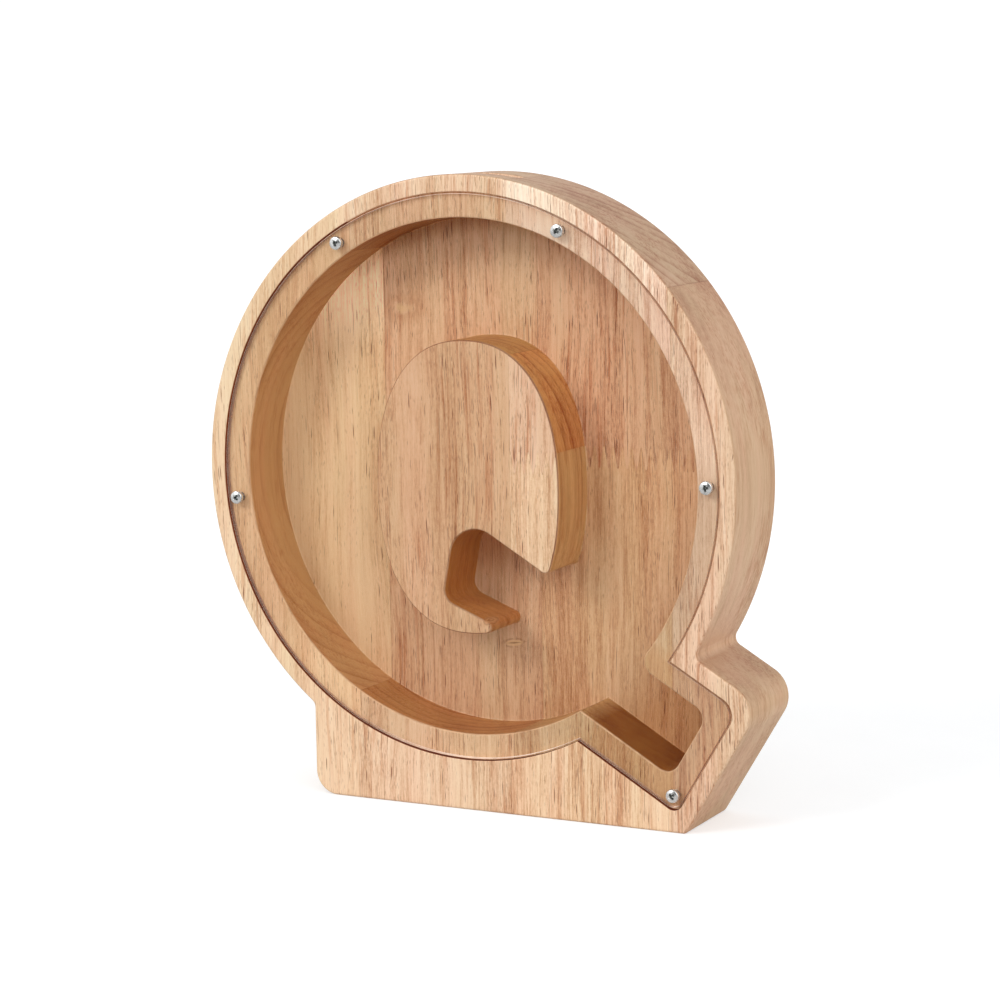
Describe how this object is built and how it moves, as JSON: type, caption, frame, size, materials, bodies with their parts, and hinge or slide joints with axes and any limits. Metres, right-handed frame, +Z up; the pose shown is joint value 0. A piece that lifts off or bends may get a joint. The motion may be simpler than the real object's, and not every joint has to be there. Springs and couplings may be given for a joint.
{
  "type": "money box",
  "caption": "Free-standing wooden money box in the outline of a bold letter, routed from glued staves, with a coin slot on top and a screwed clear window.",
  "frame": {"origin": "on the surface the box stands on, in the middle of its width and depth", "axes": "+Z up, -Y towards the viewer through the window, +X to the right as seen from the window side (the side the tail points to)"},
  "size_m": [0.1981, 0.0355, 0.21],
  "materials": {
    "rubberwood_pale": "sanded, thin satin lacquer",
    "rubberwood_warm": "sanded, thin satin lacquer",
    "rubberwood_streaked": "sanded, thin satin lacquer",
    "clear_acrylic": "clear, polished",
    "screw_steel": "bright zinc plate"
  },
  "bodies": {
    "block": {"stave_left": "rubberwood_pale", "stave_centre_left": "rubberwood_warm", "stave_centre_right_upper": "rubberwood_streaked", "stave_centre_right_lower": "rubberwood_pale", "stave_right": "rubberwood_streaked"},
    "window": {"window": "clear_acrylic"},
    "screw_top_left": {"screw_top_left": "screw_steel"},
    "screw_top_right": {"screw_top_right": "screw_steel"},
    "screw_left": {"screw_left": "screw_steel"},
    "screw_right": {"screw_right": "screw_steel"},
    "screw_tail": {"screw_tail": "screw_steel"}
  },
  "joints": [
    {"name": "window_lift_off", "type": "slide", "parent": "block", "child": "window", "axis": [0, -1, 0], "range_m": [0, 0.03]},
    {"name": "screw_top_left_out", "type": "slide", "parent": "window", "child": "screw_top_left", "axis": [0, -1, 0], "range_m": [0, 0.012]},
    {"name": "screw_top_right_out", "type": "slide", "parent": "window", "child": "screw_top_right", "axis": [0, -1, 0], "range_m": [0, 0.012]},
    {"name": "screw_left_out", "type": "slide", "parent": "window", "child": "screw_left", "axis": [0, -1, 0], "range_m": [0, 0.012]},
    {"name": "screw_right_out", "type": "slide", "parent": "window", "child": "screw_right", "axis": [0, -1, 0], "range_m": [0, 0.012]},
    {"name": "screw_tail_out", "type": "slide", "parent": "window", "child": "screw_tail", "axis": [0, -1, 0], "range_m": [0, 0.012]}
  ]
}
